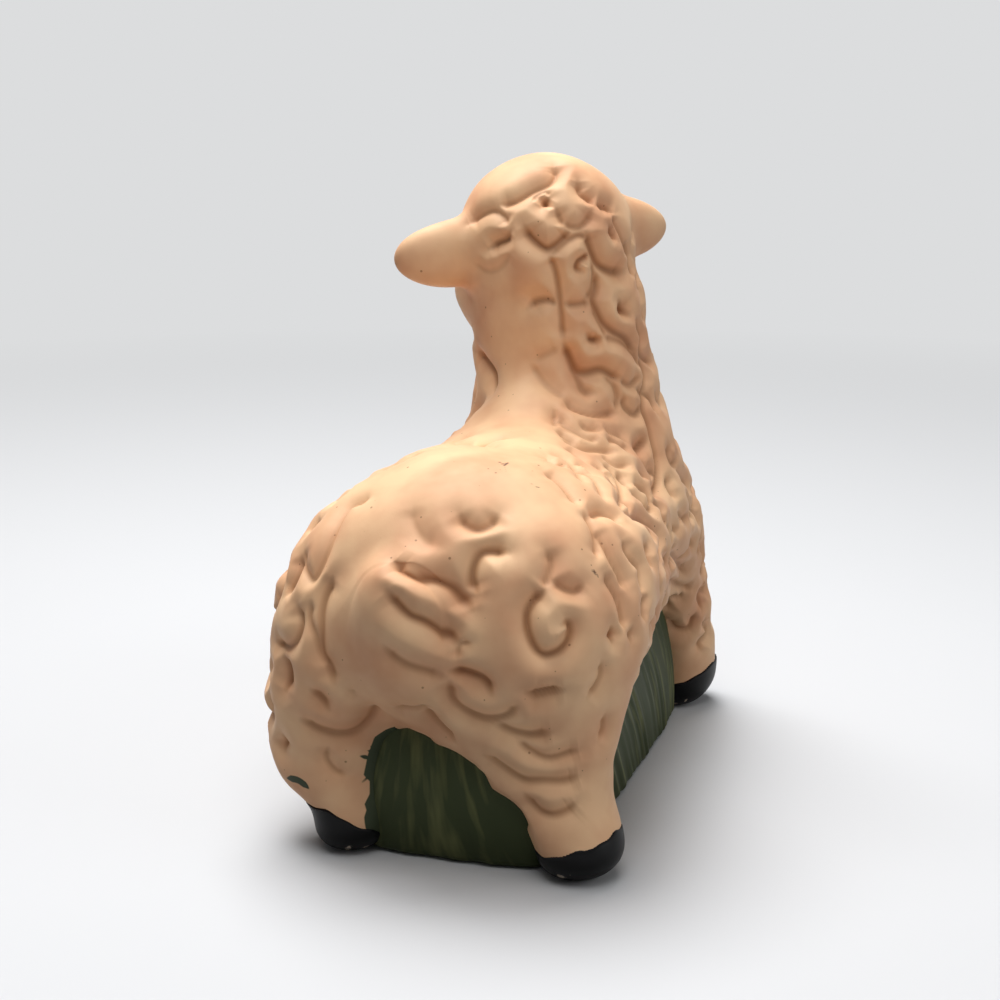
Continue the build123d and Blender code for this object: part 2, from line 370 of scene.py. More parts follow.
# Wool carving
# The curls are pressed into the wet clay with a rounded wooden tool, so each furrow is a crease between
# two swollen lobes. Furrows on the seen side start from picture pixels, the others wander by a rule.
def on_clay(pixels):
    """Picture pixels cast along the camera's rays onto the clay; a ray that misses ends at its nearest."""
    centred = (np.array(pixels, float) - IMAGE_PIXELS / 2) * sensor_mm / lens_mm / IMAGE_PIXELS
    rays = centred[:, :1] * view_right - centred[:, 1:] * view_up - view_back
    rays /= np.linalg.norm(rays, axis=1, keepdims=True)
    reach = np.full(len(rays), view_distance * 0.6)
    least, best = np.full(len(rays), np.inf), reach.copy()
    for _ in range(90):
        gap = clay_field(view_place + reach[:, None] * rays)
        closer = (gap < least) & (least > 0.02)
        least, best = np.where(closer, gap, least), np.where(closer, reach, best)
        reach = reach + np.maximum(gap, 0.02) * 0.7
    return settle(clay_field, view_place + best[:, None] * rays)


def softened(marks, steps=4):
    """A curve through the marks: the cubic through them by their running number, cut into steps."""
    number = np.arange(len(marks))
    fine = np.linspace(0, len(marks) - 1, (len(marks) - 1) * steps + 1)
    columns = [curve_through(number, column)(fine) for column in np.array(marks, float).T]
    return np.stack(columns, axis=1)


# Half width and depth of each furrow in millimetres, then its picture pixels
furrow_marks = {
    "crown_ridge": (0.75, 0.55, (498, 204), (513, 199), (533, 187), (549, 180), (556, 172), (554, 165)),
    "crown_hole": (0.75, 0.9, (541, 204), (545, 199), (549, 195)),
    "crown_curl": (0.85, 0.75, (523, 226), (527, 234), (536, 243), (546, 249), (556, 245), (566, 236),
                   (570, 229)),
    "left_temple": (0.7, 0.45, (468, 223), (478, 215), (491, 210), (501, 215), (507, 224)),
    "left_comma": (0.7, 0.7, (486, 249), (493, 243), (503, 239), (508, 232)),
    "right_crown": (0.7, 0.6, (579, 180), (583, 190), (591, 196), (597, 203)),
    "right_ear_root": (0.7, 0.6, (599, 203), (611, 205), (618, 211)),
    "right_lobe": (0.8, 0.5, (563, 220), (571, 225), (581, 226), (589, 220), (594, 210)),
    "right_worm": (0.8, 0.75, (589, 233), (594, 246), (598, 256), (604, 266), (616, 271), (627, 271)),
    "right_slot": (0.6, 0.6, (612, 225), (617, 234), (621, 240)),
    "hook": (0.7, 0.7, (584, 273), (579, 270), (581, 263), (587, 259), (594, 254)),
    "nape_line": (0.75, 0.6, (550, 256), (556, 273), (559, 289), (560, 303), (562, 319), (563, 339)),
    "nape_left": (0.75, 0.6, (526, 308), (533, 302), (546, 300), (559, 304)),
    "nape_right": (0.8, 0.6, (562, 304), (578, 304), (594, 301)),
    "nape_worm": (0.8, 0.75, (601, 273), (602, 285), (597, 299), (602, 312), (608, 324), (617, 332),
                  (631, 339), (641, 352)),
    "nape_hole": (0.8, 1.0, (624, 301), (628, 308), (634, 314)),
    "nape_hook": (0.75, 0.75, (588, 335), (595, 341), (604, 338)),
    "shoulder_worm": (0.85, 0.75, (564, 345), (571, 359), (578, 370), (590, 372), (604, 370), (616, 375),
                      (624, 379)),
    "shoulder_left": (0.9, 0.3, (529, 361), (543, 356), (561, 347)),
    "shoulder_low": (0.85, 0.35, (529, 363), (540, 377), (553, 387), (569, 395)),
    "left_notch": (0.7, 0.6, (475, 352), (481, 362), (490, 375), (491, 392)),
    "right_edge_top": (0.7, 0.6, (629, 240), (632, 252), (633, 265), (637, 275)),
    "right_edge_low": (0.7, 0.6, (640, 318), (646, 335), (646, 352), (655, 361)),
    "rump_smile": (0.8, 0.55, (458, 512), (465, 521), (476, 526), (489, 522), (499, 512)),
    "rump_faint": (0.9, 0.25, (412, 506), (412, 520), (421, 536), (437, 545)),
    "rump_hook": (0.85, 0.75, (508, 551), (492, 548), (480, 551), (473, 563), (471, 579), (476, 594)),
    "tail_top": (0.95, 0.75, (391, 557), (404, 567), (421, 574), (438, 578), (453, 586), (463, 599),
                 (469, 610)),
    "tail_middle": (0.9, 0.75, (385, 592), (394, 604), (408, 617), (426, 624), (444, 634), (458, 645)),
    "tail_low": (1.0, 0.5, (381, 649), (390, 660), (406, 669), (426, 674), (444, 678)),
    "tail_crack": (0.45, 0.4, (471, 643), (459, 647), (457, 660)),
    "tail_left": (0.8, 0.6, (330, 577), (321, 592), (317, 610), (317, 632), (318, 654), (326, 668),
                  (332, 685)),
    "tail_under": (0.8, 0.45, (393, 710), (415, 713), (430, 708)),
    "left_long": (0.65, 0.45, (367, 495), (349, 502), (339, 515), (331, 533), (321, 556), (309, 577),
                  (303, 573), (299, 562), (301, 548)),
    "left_slot": (0.7, 0.6, (317, 518), (310, 524), (304, 532)),
    "left_rim": (0.7, 0.6, (297, 554), (291, 573), (281, 594)),
    "left_drop": (0.7, 0.6, (273, 642), (283, 648), (292, 640), (296, 624), (293, 606)),
    "left_inner": (0.7, 0.5, (307, 600), (305, 619), (313, 640), (317, 655), (327, 670)),
    "left_low_slot": (0.8, 0.8, (280, 657), (283, 672), (282, 690)),
    "hip_curl": (0.75, 0.75, (545, 590), (534, 599), (527, 612), (527, 629), (533, 646), (543, 656),
                 (557, 654), (568, 645), (573, 633), (570, 623), (564, 625)),
    "hip_cleft": (0.7, 0.5, (547, 549), (552, 559), (550, 572), (543, 588)),
    "hip_lobe": (0.7, 0.5, (554, 577), (563, 586), (577, 590), (586, 583)),
    "hip_pit": (0.65, 1.0, (616, 629), (617, 635), (617, 641)),
    "thigh_comma": (0.75, 0.75, (451, 673), (466, 675), (481, 682), (490, 695)),
    "thigh_ring": (0.75, 0.6, (450, 684), (452, 703), (466, 715), (485, 722), (505, 720), (517, 709)),
    "thigh_flick": (0.75, 0.75, (526, 696), (534, 699), (548, 697), (565, 694)),
    "thigh_smile": (0.8, 0.6, (493, 727), (510, 735), (531, 739), (552, 736)),
    "thigh_pits": (0.7, 0.5, (517, 744), (531, 754), (551, 761), (580, 752)),
    "thigh_low": (0.8, 0.55, (483, 759), (502, 771), (522, 782), (543, 783), (565, 783), (580, 778)),
    "shank_smile": (0.8, 0.55, (524, 797), (536, 812), (551, 817), (568, 812), (577, 804)),
    "inner_lobe": (0.8, 0.6, (425, 711), (430, 722), (439, 734), (452, 746)),
    "left_knee": (0.9, 0.6, (299, 722), (316, 732), (338, 737), (357, 734), (371, 722), (375, 708)),
    "left_knee_in": (0.75, 0.6, (309, 692), (320, 701), (328, 711)),
    "left_knee_tick": (0.7, 0.35, (347, 691), (357, 697)),
    "left_shank": (0.7, 0.4, (328, 749), (325, 761), (335, 773), (347, 776)),
    "left_shank_slot": (0.7, 0.7, (280, 738), (282, 750)),
    "flank_ridge": (0.7, 0.5, (586, 508), (595, 524), (599, 540), (599, 556)),
    "flank_worm": (0.65, 0.55, (598, 526), (609, 544), (616, 557), (625, 572), (631, 588)),
    "flank_rim": (0.65, 0.55, (609, 572), (622, 594), (627, 611), (629, 629)),
    "flank_arch": (0.7, 0.6, (593, 513), (605, 508), (615, 513), (624, 522)),
    "flank_drop": (0.7, 0.65, (625, 540), (634, 554), (643, 565), (646, 583), (646, 592)),
    "flank_hole": (0.65, 0.9, (650, 544), (650, 554), (655, 563)),
    "flank_lobe": (0.7, 0.6, (627, 511), (646, 515), (662, 533), (664, 551), (662, 568)),
    "flank_low": (0.65, 0.5, (650, 594), (647, 608), (648, 621)),
    "belly_rim": (0.65, 0.5, (636, 627), (634, 643)),
    "wither_one": (0.75, 0.55, (580, 418), (589, 424), (605, 424)),
    "wither_two": (0.75, 0.6, (563, 433), (582, 442), (601, 444), (618, 448)),
    "wither_three": (0.75, 0.65, (621, 467), (628, 478), (634, 486)),
    "wither_four": (0.75, 0.65, (637, 482), (650, 488), (658, 507)),
    "wither_five": (0.75, 0.7, (660, 449), (664, 465), (664, 482), (657, 492)),
    "wither_six": (0.75, 0.7, (650, 437), (641, 449), (645, 457)),
    "chest_one": (0.75, 0.65, (674, 522), (678, 542), (681, 556), (690, 576)),
    "chest_two": (0.7, 0.6, (690, 494), (698, 510), (701, 524)),
    "chest_hole": (0.7, 0.7, (695, 540), (697, 546)),
    "chest_three": (0.75, 0.55, (667, 622), (676, 631), (690, 630), (697, 615)),
    "neck_low": (0.75, 0.6, (640, 388), (655, 395), (660, 412)),
    "shoulder_hem": (0.8, 0.6, (566, 395), (575, 402), (590, 408), (604, 411), (619, 411)),
    "neck_knob": (0.75, 0.6, (626, 394), (629, 406), (639, 413), (648, 405)),
    "neck_side": (0.7, 0.65, (645, 355), (651, 378), (649, 406), (653, 422), (658, 443), (664, 461)),
    "crown_side": (0.7, 0.5, (556, 207), (561, 217), (566, 226)),
    "crown_ring": (0.6, 0.4, (531, 200), (536, 192), (545, 188), (552, 194)),
    "lobe_top": (0.75, 0.55, (551, 256), (559, 247), (571, 239), (583, 235), (592, 240)),
    "lobe_right": (0.75, 0.6, (596, 262), (599, 274), (597, 288), (587, 299)),
    "nape_lobe": (0.75, 0.6, (596, 306), (602, 319), (608, 332), (606, 339)),
    "worm_top": (0.75, 0.6, (606, 338), (624, 341), (638, 352), (646, 366)),
    "worm_end": (0.7, 0.55, (622, 379), (634, 384), (644, 376)),
    "shoulder_inner": (0.8, 0.6, (573, 362), (580, 376), (586, 387), (597, 392)),
    "shoulder_cap": (0.75, 0.55, (606, 375), (616, 383), (621, 397), (618, 409)),
    "edge_mid": (0.65, 0.5, (616, 214), (623, 229), (628, 243), (631, 256)),
    "temple_low": (0.9, 0.25, (470, 262), (484, 272), (500, 268), (510, 254)),
    "wither_fold": (0.7, 0.5, (559, 412), (566, 422), (578, 428), (592, 434), (603, 436)),
    "wither_step": (0.65, 0.45, (566, 446), (578, 452), (588, 462)),
    "saddle_one": (0.7, 0.45, (552, 452), (566, 456), (577, 466), (584, 480)),
    "saddle_two": (0.65, 0.45, (604, 448), (612, 456), (622, 462), (632, 462)),
    "wither_stem": (0.6, 0.5, (555, 407), (554, 415), (556, 424)),
    "wither_cuff": (0.7, 0.55, (556, 428), (565, 431), (580, 440)),
    "wither_lobe": (0.75, 0.55, (605, 424), (622, 432), (630, 440)),
    "flank_top": (0.7, 0.5, (545, 470), (560, 478), (572, 490), (580, 502)),
    "flank_bow": (0.7, 0.5, (568, 462), (585, 470), (600, 482), (607, 497)),
    "flank_hem": (0.7, 0.55, (606, 460), (618, 470), (626, 490), (622, 505)),
    "chest_four": (0.7, 0.55, (680, 470), (690, 480), (694, 494)),
    "chest_five": (0.7, 0.55, (672, 580), (682, 590), (695, 590)),
    "thigh_side": (0.7, 0.5, (590, 700), (600, 690), (606, 676), (604, 662)),
    "shank_side": (0.7, 0.45, (600, 742), (606, 730), (606, 716)),
}
marks = [softened(mark[2:]) for mark in furrow_marks.values()]
cast = on_clay(np.concatenate(marks))
paths = np.split(cast, np.cumsum([len(mark) for mark in marks])[:-1])
furrow_depth_gain = 1.85
furrows = []
for path, (width, depth, *pixels) in zip(paths, furrow_marks.values()):
    furrows.append((path, width, depth * furrow_depth_gain))

# Marks of the muzzle, hidden in the picture: nostrils, cleft and mouth, as directions from its middle
muzzle_marks = (
    (0.4, 0.55, (0.28, 0.93, 0.24), (0.40, 0.87, 0.32), (0.48, 0.82, 0.24), (0.45, 0.86, 0.14)),
    (0.4, 0.55, (-0.28, 0.93, 0.24), (-0.40, 0.87, 0.32), (-0.48, 0.82, 0.24), (-0.45, 0.86, 0.14)),
    (0.4, 0.4, (0.0, 0.98, 0.10), (0.0, 0.97, -0.15), (0.0, 0.92, -0.38)),
    (0.45, 0.5, (0.80, 0.42, -0.36), (0.62, 0.64, -0.44), (0.32, 0.82, -0.46), (0.0, 0.90, -0.40),
     (-0.32, 0.82, -0.46), (-0.62, 0.64, -0.44), (-0.80, 0.42, -0.36)),
)
for width, depth, *spots in muzzle_marks:
    path = muzzle_centre + softened(spots) * muzzle_half @ muzzle_axes
    furrows.append((settle(clay_field, path), width, depth))

# Curls pressed into torso and neck, as on their solids: rows of place along the axis and angles around it
row_radius, row_arc, row_turn = 2.4, math.radians(230), math.radians(137.5)
torso_start, torso_run = np.array([0, torso_low[1], torso_centre[2]]), np.array([0, 2 * torso_half[1], 0])
torso_rows = (
    (0.37, (-102, -72, 72, 102)), (0.52, (-88, -44, 0, 44, 88)), (0.66, (-66, -22, 22, 66)),
    (0.80, (-40, 0, 40)),
)
neck_rows = ((0.36, (20, 92, 164, 236, 308)), (0.60, (56, 128, 200, 272, 344)), (0.82, (150, 200, 250)))
curl_width, curl_depth = 0.75, 1.05


def row_curls(field, start, run, rows, ahead, aside):
    """Arcs on a lump, each round the spot where a ray from the axis leaves it, turned by a steady step."""
    share = np.concatenate([np.full(len(angles), place) for place, angles in rows])
    angle = np.radians(np.concatenate([angles for place, angles in rows]))
    rays = np.cos(angle)[:, None] * ahead + np.sin(angle)[:, None] * aside
    core = start + share[:, None] * run
    spots = core + cast_out(field, core, rays, 30.0)[:, None] * rays
    normals = outward(field, spots)
    across = np.cross(run, normals)
    across /= np.linalg.norm(across, axis=1, keepdims=True)
    beside = np.cross(normals, across)
    sweep = (np.linspace(0, row_arc, 19) + row_turn * np.arange(len(spots))[:, None])[..., None]
    arcs = np.cos(sweep) * across[:, None] + np.sin(sweep) * beside[:, None]
    return spots, spots[:, None] + row_radius * arcs


def facing(points):
    """Cosine between the skin's normal and the way to the camera's place."""
    way = view_place - points
    return (outward(clay_field, points) * way).sum(axis=1) / np.linalg.norm(way, axis=1)


leftward, rearward, upward = np.eye(3)
torso_spots, torso_arcs = row_curls(torso_field, torso_start, torso_run, torso_rows, upward, leftward)
neck_spots, neck_arcs = row_curls(neck_field, neck_foot, neck_axis, neck_rows, -rearward, leftward)
row_spots = np.concatenate([torso_spots, neck_spots])
row_arcs = np.concatenate([torso_arcs, neck_arcs])
from_marks = np.min(np.linalg.norm(row_spots[:, None] - cast[None], axis=2), axis=1)
hidden = (facing(row_spots) < 0.05) & (from_marks > 3.0) & (clay_field(row_spots) > -1.5)
row_spots, row_arcs = row_spots[hidden], row_arcs[hidden]
row_arcs = settle(clay_field, row_arcs.reshape(-1, 3)).reshape(row_arcs.shape)
furrows += [(arc, curl_width, curl_depth) for arc in row_arcs]

# Curls between them: spots at least a spacing apart, each a C or an S, short ones on the far right side
curl_spacing, curl_clearance, row_clearance = 3.9, 2.3, 4.6
curl_lowest = 7.5
chance = np.random.default_rng(12)
woolly = ["torso", "neck", "wool_cap"] + [leg_name + "_leg" for leg_name in leg_rings]
bare = ("muzzle", "left_ear", "right_ear")
seeds = []
coarse_rays, _ = ball_grid(26)
for lump in woolly:
    core = core_line(lump, coarse_rays)
    spots = core + cast_out(clay_field, core, coarse_rays, 45.0)[:, None] * coarse_rays
    own = clay_fields[lump][0](spots)
    rivals = [field(spots) for other, (field, blend) in clay_fields.items() if other != lump]
    rival = np.min(rivals, axis=0)
    off_face = facing(spots) + 0.3 if lump == "wool_cap" else 1.2 - head_field(spots)
    seeds.append(spots[(own < rival + 0.3) & (off_face <= 0)])
seeds = np.concatenate(seeds)
from_bare = np.min([clay_fields[lump][0](seeds) for lump in bare], axis=0)
from_marks = np.min(np.linalg.norm(seeds[:, None] - cast[None, ::2], axis=2), axis=1)
from_rows = np.min(np.linalg.norm(seeds[:, None] - row_spots, axis=2), axis=1)
far_right = (seeds[:, 0] < -7) & (seeds[:, 1] < 14) & (facing(seeds) < 0.55)
keep = ((facing(seeds) < 0.1) & (from_marks > curl_clearance)) | (far_right & (from_marks > 1.7))
keep &= (seeds[:, 2] > curl_lowest) & (from_bare > 1.2) & (from_rows > row_clearance)
seeds = chance.permutation(seeds[keep])
chosen = np.zeros((0, 3))
for seed in seeds:
    if len(chosen) == 0 or np.linalg.norm(chosen - seed, axis=1).min() > curl_spacing:
        chosen = np.concatenate([chosen, seed[None]])
count = len(chosen)
normals = outward(clay_field, chosen)
across = np.cross(normals, chance.normal(size=(count, 3)))
across /= np.linalg.norm(across, axis=1, keepdims=True)
beside = np.cross(normals, across)
travel = np.linspace(-0.5, 0.5, 15)
short = np.where(facing(chosen) < 0.1, 1.0, 0.6)[:, None]
is_c = chance.random((count, 1)) < 0.55
c_length, s_length = chance.uniform(5.5, 8.5, (count, 1)), chance.uniform(7.0, 10.5, (count, 1))
length = np.where(is_c, c_length, s_length) * short
turn = chance.uniform(2.2, 4.2, (count, 1)) * chance.choice((-1, 1), (count, 1))
heading = np.where(is_c, turn * travel, 0.3 * turn * np.cos(2.4 * math.pi * travel + turn))
stride = length / len(travel)
ahead, aside = np.cumsum(np.cos(heading) * stride, axis=1), np.cumsum(np.sin(heading) * stride, axis=1)
ahead, aside = ahead - ahead.mean(axis=1, keepdims=True), aside - aside.mean(axis=1, keepdims=True)
curls = chosen[:, None] + ahead[..., None] * across[:, None] + aside[..., None] * beside[:, None]
curls = settle(clay_field, curls.reshape(-1, 3)).reshape(count, -1, 3)
furrows += [(curl, curl_width, curl_depth) for curl in curls]


def close_to(path, points, reach):
    """Points near a path: their numbers, their distance to it and how far they are from its nearer end."""
    middle = (path.min(axis=0) + path.max(axis=0)) / 2
    extent = (path.max(axis=0) - path.min(axis=0)) / 2 + reach
    near = np.flatnonzero((np.abs(points - middle) < extent).all(axis=1))
    run = path[1:] - path[:-1]
    lengths = np.maximum(np.linalg.norm(run, axis=1), 1e-6)
    start = np.concatenate([[0], np.cumsum(lengths)[:-1]])
    offset = points[near][:, None] - path[:-1]
    along = np.clip((offset * run).sum(axis=2) / np.square(lengths), 0, 1)
    gaps = np.linalg.norm(offset - along[..., None] * run, axis=2)
    best = gaps.argmin(axis=1)
    rows = np.arange(len(near))
    travelled = (start + along * lengths)[rows, best]
    return near, gaps[rows, best], np.minimum(travelled, lengths.sum() - travelled)


def carved(points):
    """Depth of the carving, the fourth-power sum of every furrow's crease, and the colour share of painted
    shade along each crease's bottom.

    A crease is depth (0.45 exp(-(sqrt(d^2 + e^2) - e) / 0.6w) + 0.55 exp(-(d / 2.1w)^2)) at distance d,
    with e a small rounding of its bottom and w its half width. It fades towards its ends.
    """
    total, painted_crease_shade = np.zeros(len(points)), np.zeros(len(points))
    for path, width, depth in furrows:
        near, gap, to_end = close_to(path, points, 5 * width)
        fade = np.clip(0.4 + to_end / (1.8 * width), 0, 1) * depth
        bottom = 0.22 * width
        sharp = np.exp(-(np.hypot(gap, bottom) - bottom) / (0.6 * width))
        swell = np.exp(-np.square(gap / (2.1 * width)))
        ended = np.square(np.clip(1 - np.square(gap / (5 * width)), 0, 1))
        total[near] += (fade * (0.45 * sharp + 0.55 * swell) * ended) ** 4
        # Painted shade in the narrow bottom of the crease, from the deepest nearby furrow.
        painted_crease_shade[near] = np.maximum(painted_crease_shade[near], np.exp(-np.square(gap / (0.6 * width))) * fade)
    return total ** 0.25, painted_crease_shade


knead_waves = np.array([[0.42, 0.11, 0.31], [0.2, 0.5, -0.3], [-0.35, 0.3, 0.55]])
knead_starts, knead_height = np.array([0.3, 1.9, 4.0]), 0.09


def kneaded(points):
    """Slow unevenness of hand-shaped clay: three crossed sine waves of 9 to 15 mm."""
    waves = np.sin(points @ knead_waves + knead_starts)
    return knead_height * waves.sum(axis=1)


def skin_normals(points, quads):
    """Unit normals at the points of a closed quad mesh, from the crossed diagonals of the faces there."""
    a, b, c, d = points[quads.T]
    crossed = np.cross(c - a, d - b)
    total = np.zeros_like(points)
    for column in quads.T:
        np.add.at(total, column, crossed)
    return total / np.maximum(np.linalg.norm(total, axis=1, keepdims=True), 1e-9)


def mesh_object(name, points, faces, values, normals=None):
    """A smooth-shaded object of points in millimetres, blocks of faces and named point values."""
    mesh = bpy.data.meshes.new(name)
    mesh.from_pydata(points * MM, [], [face for block in faces for face in block.tolist()])
    for key, value in values.items():
        mesh.attributes.new(key, "FLOAT", "POINT").data.foreach_set("value", value.astype(np.float32))
    mesh.shade_smooth()
    if normals is not None:
        mesh.normals_split_custom_set_from_vertices(normals)
    piece = bpy.data.objects.new(name, mesh)
    bpy.context.scene.collection.objects.link(piece)
    return piece


# Height of each hoof's paint at its outer side, back, inner side and front
hoof_rims = {
    "rear_left": (4.6, 4.6, 1.7, 3.4), "rear_right": (5.0, 3.5, 2.7, 3.8),
    "front_left": (4.6, 2.2, 1.8, 4.8), "front_right": (5.6, 2.9, 1.6, 4.8),
}
paint_proud, clay_under_paint = 0.08, 0.4
sink_slope, sink_start, sink_limit, retreat = 0.6, 0.03, 2.0, 0.2


def hoof_rim(points, leg_name):
    """Height of a hoof's paint edge round its foot: two waves through four heights, and brush wobble."""
    foot, rings = leg_places[leg_name]
    outer, back, inner, front = hoof_rims[leg_name]
    angle = np.arctan2(points[:, 1] - foot[1], (points[:, 0] - foot[0]) * np.sign(foot[0]))
    rim = (outer + back + inner + front) / 4 + (outer + inner - back - front) / 4 * np.cos(2 * angle)
    rim += (outer - inner) / 2 * np.cos(angle) + (back - front) / 2 * np.sin(angle)
    return rim + 0.12 * np.sin(5 * angle + 1) + 0.07 * np.sin(11 * angle)


def clay_piece(name, cuts, slack=6.0):
    """A lump's share of the clay skin, carved, and sunk under its neighbours where they stand nearer.

    Rays leave the lump's core and stop on the skin, at most slack past the lump's own surface. Where a
    neighbour's surface is nearer by x, the point sinks by x times a slope and goes back along its ray by
    x^2 times a share. One that never reaches the skin goes back inside the lump. Under the hoof's paint the
    clay sinks too. The normals are the skin's before it sinks, so that the lumps shade as one body.
    """
    rays, quads = ball_grid(cuts)
    core = core_line(name, rays)
    own_reach = cast_out(clay_fields[name][0], core, rays, 60.0)
    own_points = core + own_reach[:, None] * rays
    lumps = [lump for lump, (field, blend) in clay_fields.items() if field(own_points[::7]).min() < 7]
    skin = lambda spots: clay_field(spots, lumps)
    reach = cast_out(skin, core, rays, own_reach + slack)
    points = core + reach[:, None] * rays
    buried = skin(points) < -0.1
    normals = outward(skin, points)
    depth, painted_crease_shade = carved(points)
    others = [clay_fields[lump][0](points) for lump in lumps if lump != name]
    foreign = np.maximum(clay_fields[name][0](points) - np.min(others, axis=0), 0)
    back = np.where(buried, slack + 1.5, np.minimum(retreat * np.square(foreign), slack))
    shift = np.where(buried, 0, (depth + kneaded(points)) * np.clip(points[:, 2] / 2, 0, 1))
    shading = skin_normals(points - normals * shift[:, None], quads)
    shift += np.where(buried, 0, sink_slope * np.clip(foreign - sink_start, 0, sink_limit))
    if name.endswith("_leg"):
        rim = hoof_rim(points, name.removesuffix("_leg"))
        shift += clay_under_paint * np.clip((rim - points[:, 2]) / 0.3, 0, 1)
    points = points - normals * shift[:, None] - rays * np.minimum(back, 0.8 * reach)[:, None]
    points[:, 2] = np.maximum(points[:, 2], 0)
    # The 'hollow' value is painted shade: how far a point lies in the bottom of a furrow's crease.
    return points, quads, shading, {"hollow": painted_crease_shade}


# Brushed green of the grass on the rear left leg: its ragged edge and stray strokes, as picture pixels
green_edge = on_clay((
    (402, 726), (385, 730), (373, 738), (367, 755), (362, 776), (368, 782), (368, 795), (363, 805),
    (365, 811), (363, 818), (366, 832),
))
green_strokes = [
    (0.28, on_clay(softened(pixels))) for pixels in (
        ((372, 759), (364, 757), (358, 756)), ((374, 771), (366, 780), (357, 787)),
        ((380, 740), (370, 747)), ((376, 751), (367, 751)), ((368, 790), (362, 794)),
        ((369, 800), (362, 803)),
    )
] + [(0.45, on_clay(softened(((287, 778), (297, 780), (304, 785), (309, 790)))))]


def brushed_green(points):
    """Signed distance to the green paint's edge, positive inside: past it by height, or within a stroke."""
    order = np.argsort(green_edge[:, 2])
    edge = np.interp(points[:, 2], green_edge[order, 2], green_edge[order, 0])
    inside = np.minimum(edge - points[:, 0], green_edge[0, 2] - points[:, 2])
    for half_width, path in green_strokes:
        near, gap, to_end = close_to(path, points, 1.5)
        inside[near] = np.maximum(inside[near], half_width * np.clip(0.3 + to_end, 0, 1) - gap)
    return np.clip(inside, -1, 1)


# Chips and dirt caught in the clay: half width in millimetres and picture pixels
soil_marks = (
    (0.2, (499, 462), (504, 466), (508, 463)), (0.15, (531, 484), (540, 488)),
    (0.14, (505, 468), (506, 472)),
    (0.26, (554, 405), (555, 408)), (0.16, (473, 399), (474, 403)), (0.2, (616, 632), (617, 638)),
    (0.13, (402, 546), (404, 547)), (0.13, (424, 556), (427, 557)), (0.13, (396, 553), (398, 553)),
    (0.28, (594, 570), (600, 576)),
    (0.2, (356, 499), (363, 502)), (0.16, (346, 504), (352, 500)), (0.13, (553, 418), (553, 420)),
    (0.14, (412, 548), (420, 551)), (0.12, (588, 497), (590, 499)), (0.12, (597, 510), (599, 513)),
    (0.14, (604, 521), (605, 524)), (0.12, (613, 541), (614, 544)), (0.14, (620, 557), (622, 560)),
    (0.12, (628, 567), (629, 570)), (0.12, (606, 549), (607, 551)), (0.12, (614, 573), (616, 575)),
    (0.12, (575, 470), (577, 472)), (0.12, (560, 458), (563, 459)), (0.12, (520, 745), (523, 746)),
)
soil_paths = [(mark[0], on_clay(mark[1:])) for mark in soil_marks]


def soiled(points):
    """Signed distance to the nearest chip's edge, positive inside."""
    inside = np.full(len(points), -1.0)
    for half_width, path in soil_paths:
        near, gap, to_end = close_to(path, points, 1.0)
        inside[near] = np.maximum(inside[near], half_width - gap)
    return inside


# Places where handling rubbed dust into the pores, as picture pixels, and how far it spreads
dust_spots = on_clay((
    (612, 545), (600, 505), (624, 582), (606, 585), (408, 549), (432, 562), (505, 466), (560, 462),
    (590, 474), (545, 640), (350, 505), (520, 748),
))
dust_reach = 3.2


def dusty(points):
    """How much dust lies at each point: the greatest of exp(-(d / reach)^2) over the dusty spots."""
    nearest = np.min([np.linalg.norm(points - spot, axis=1) for spot in dust_spots], axis=0)
    return np.exp(-np.square(nearest / dust_reach))


# Bisque
# Ivory bisque: pale clay fired without a glaze, matt with a faint sheen from handling. The eye sees
# warm mottling, painted shade that darkens the bottoms of the furrows, and brown specks of grog and dirt.
def linear(hex_colour):
    """Linear RGBA of an sRGB hex colour."""
    parts = [int(hex_colour[i:i + 2], 16) / 255 for i in (1, 3, 5)]
    return [c / 12.92 if c <= 0.04045 else ((c + 0.055) / 1.055) ** 2.4 for c in parts] + [1.0]


def add_node(material, kind, links=(), inputs=(), **settings):
    """Adds a node, sets its properties and input values, and links (output, input name) pairs into it."""
    node = material.node_tree.nodes.new(kind)
    for key, value in settings.items():
        setattr(node, key, value)
    for key, value in inputs:
        node.inputs[key].default_value = value
    for output, key in links:
        material.node_tree.links.new(output, node.inputs[key])
    return node


def paint(name):
    """A new material: itself, its shader and the Object coordinates in it."""
    material = bpy.data.materials.new(name)
    material.use_nodes = True
    place = add_node(material, "ShaderNodeTexCoord").outputs["Object"]
    return material, material.node_tree.nodes["Principled BSDF"], place


def point_value(material, name):
    """The output of a named point value."""
    return add_node(material, "ShaderNodeAttribute", attribute_name=name).outputs["Fac"]


def noise(material, vector, scale, detail):
    """The output of a noise of so many features to the unit."""
    links, inputs = [(vector, "Vector")], [("Scale", scale), ("Detail", detail)]
    return add_node(material, "ShaderNodeTexNoise", links, inputs).outputs["Fac"]


def ramp(material, value, start, end, least=0.0, most=1.0):
    """The output of a straight ramp from least at start to most at end."""
    inputs = [("From Min", start), ("From Max", end), ("To Min", least), ("To Max", most)]
    return add_node(material, "ShaderNodeMapRange", [(value, "Value")], inputs).outputs["Result"]


def math_of(material, operation, links, inputs=()):
    """The output of a step of arithmetic."""
    return add_node(material, "ShaderNodeMath", links, inputs, operation=operation).outputs["Value"]


def tinted(material, share, under, over):
    """The output of a mix from a colour, or another output, to the colour laid over it."""
    links, inputs = [(share, "Factor")], [(7, linear(over))]
    if isinstance(under, str):
        inputs.append((6, linear(under)))
    else:
        links.append((under, 6))
    return add_node(material, "ShaderNodeMix", links, inputs, data_type="RGBA").outputs[2]


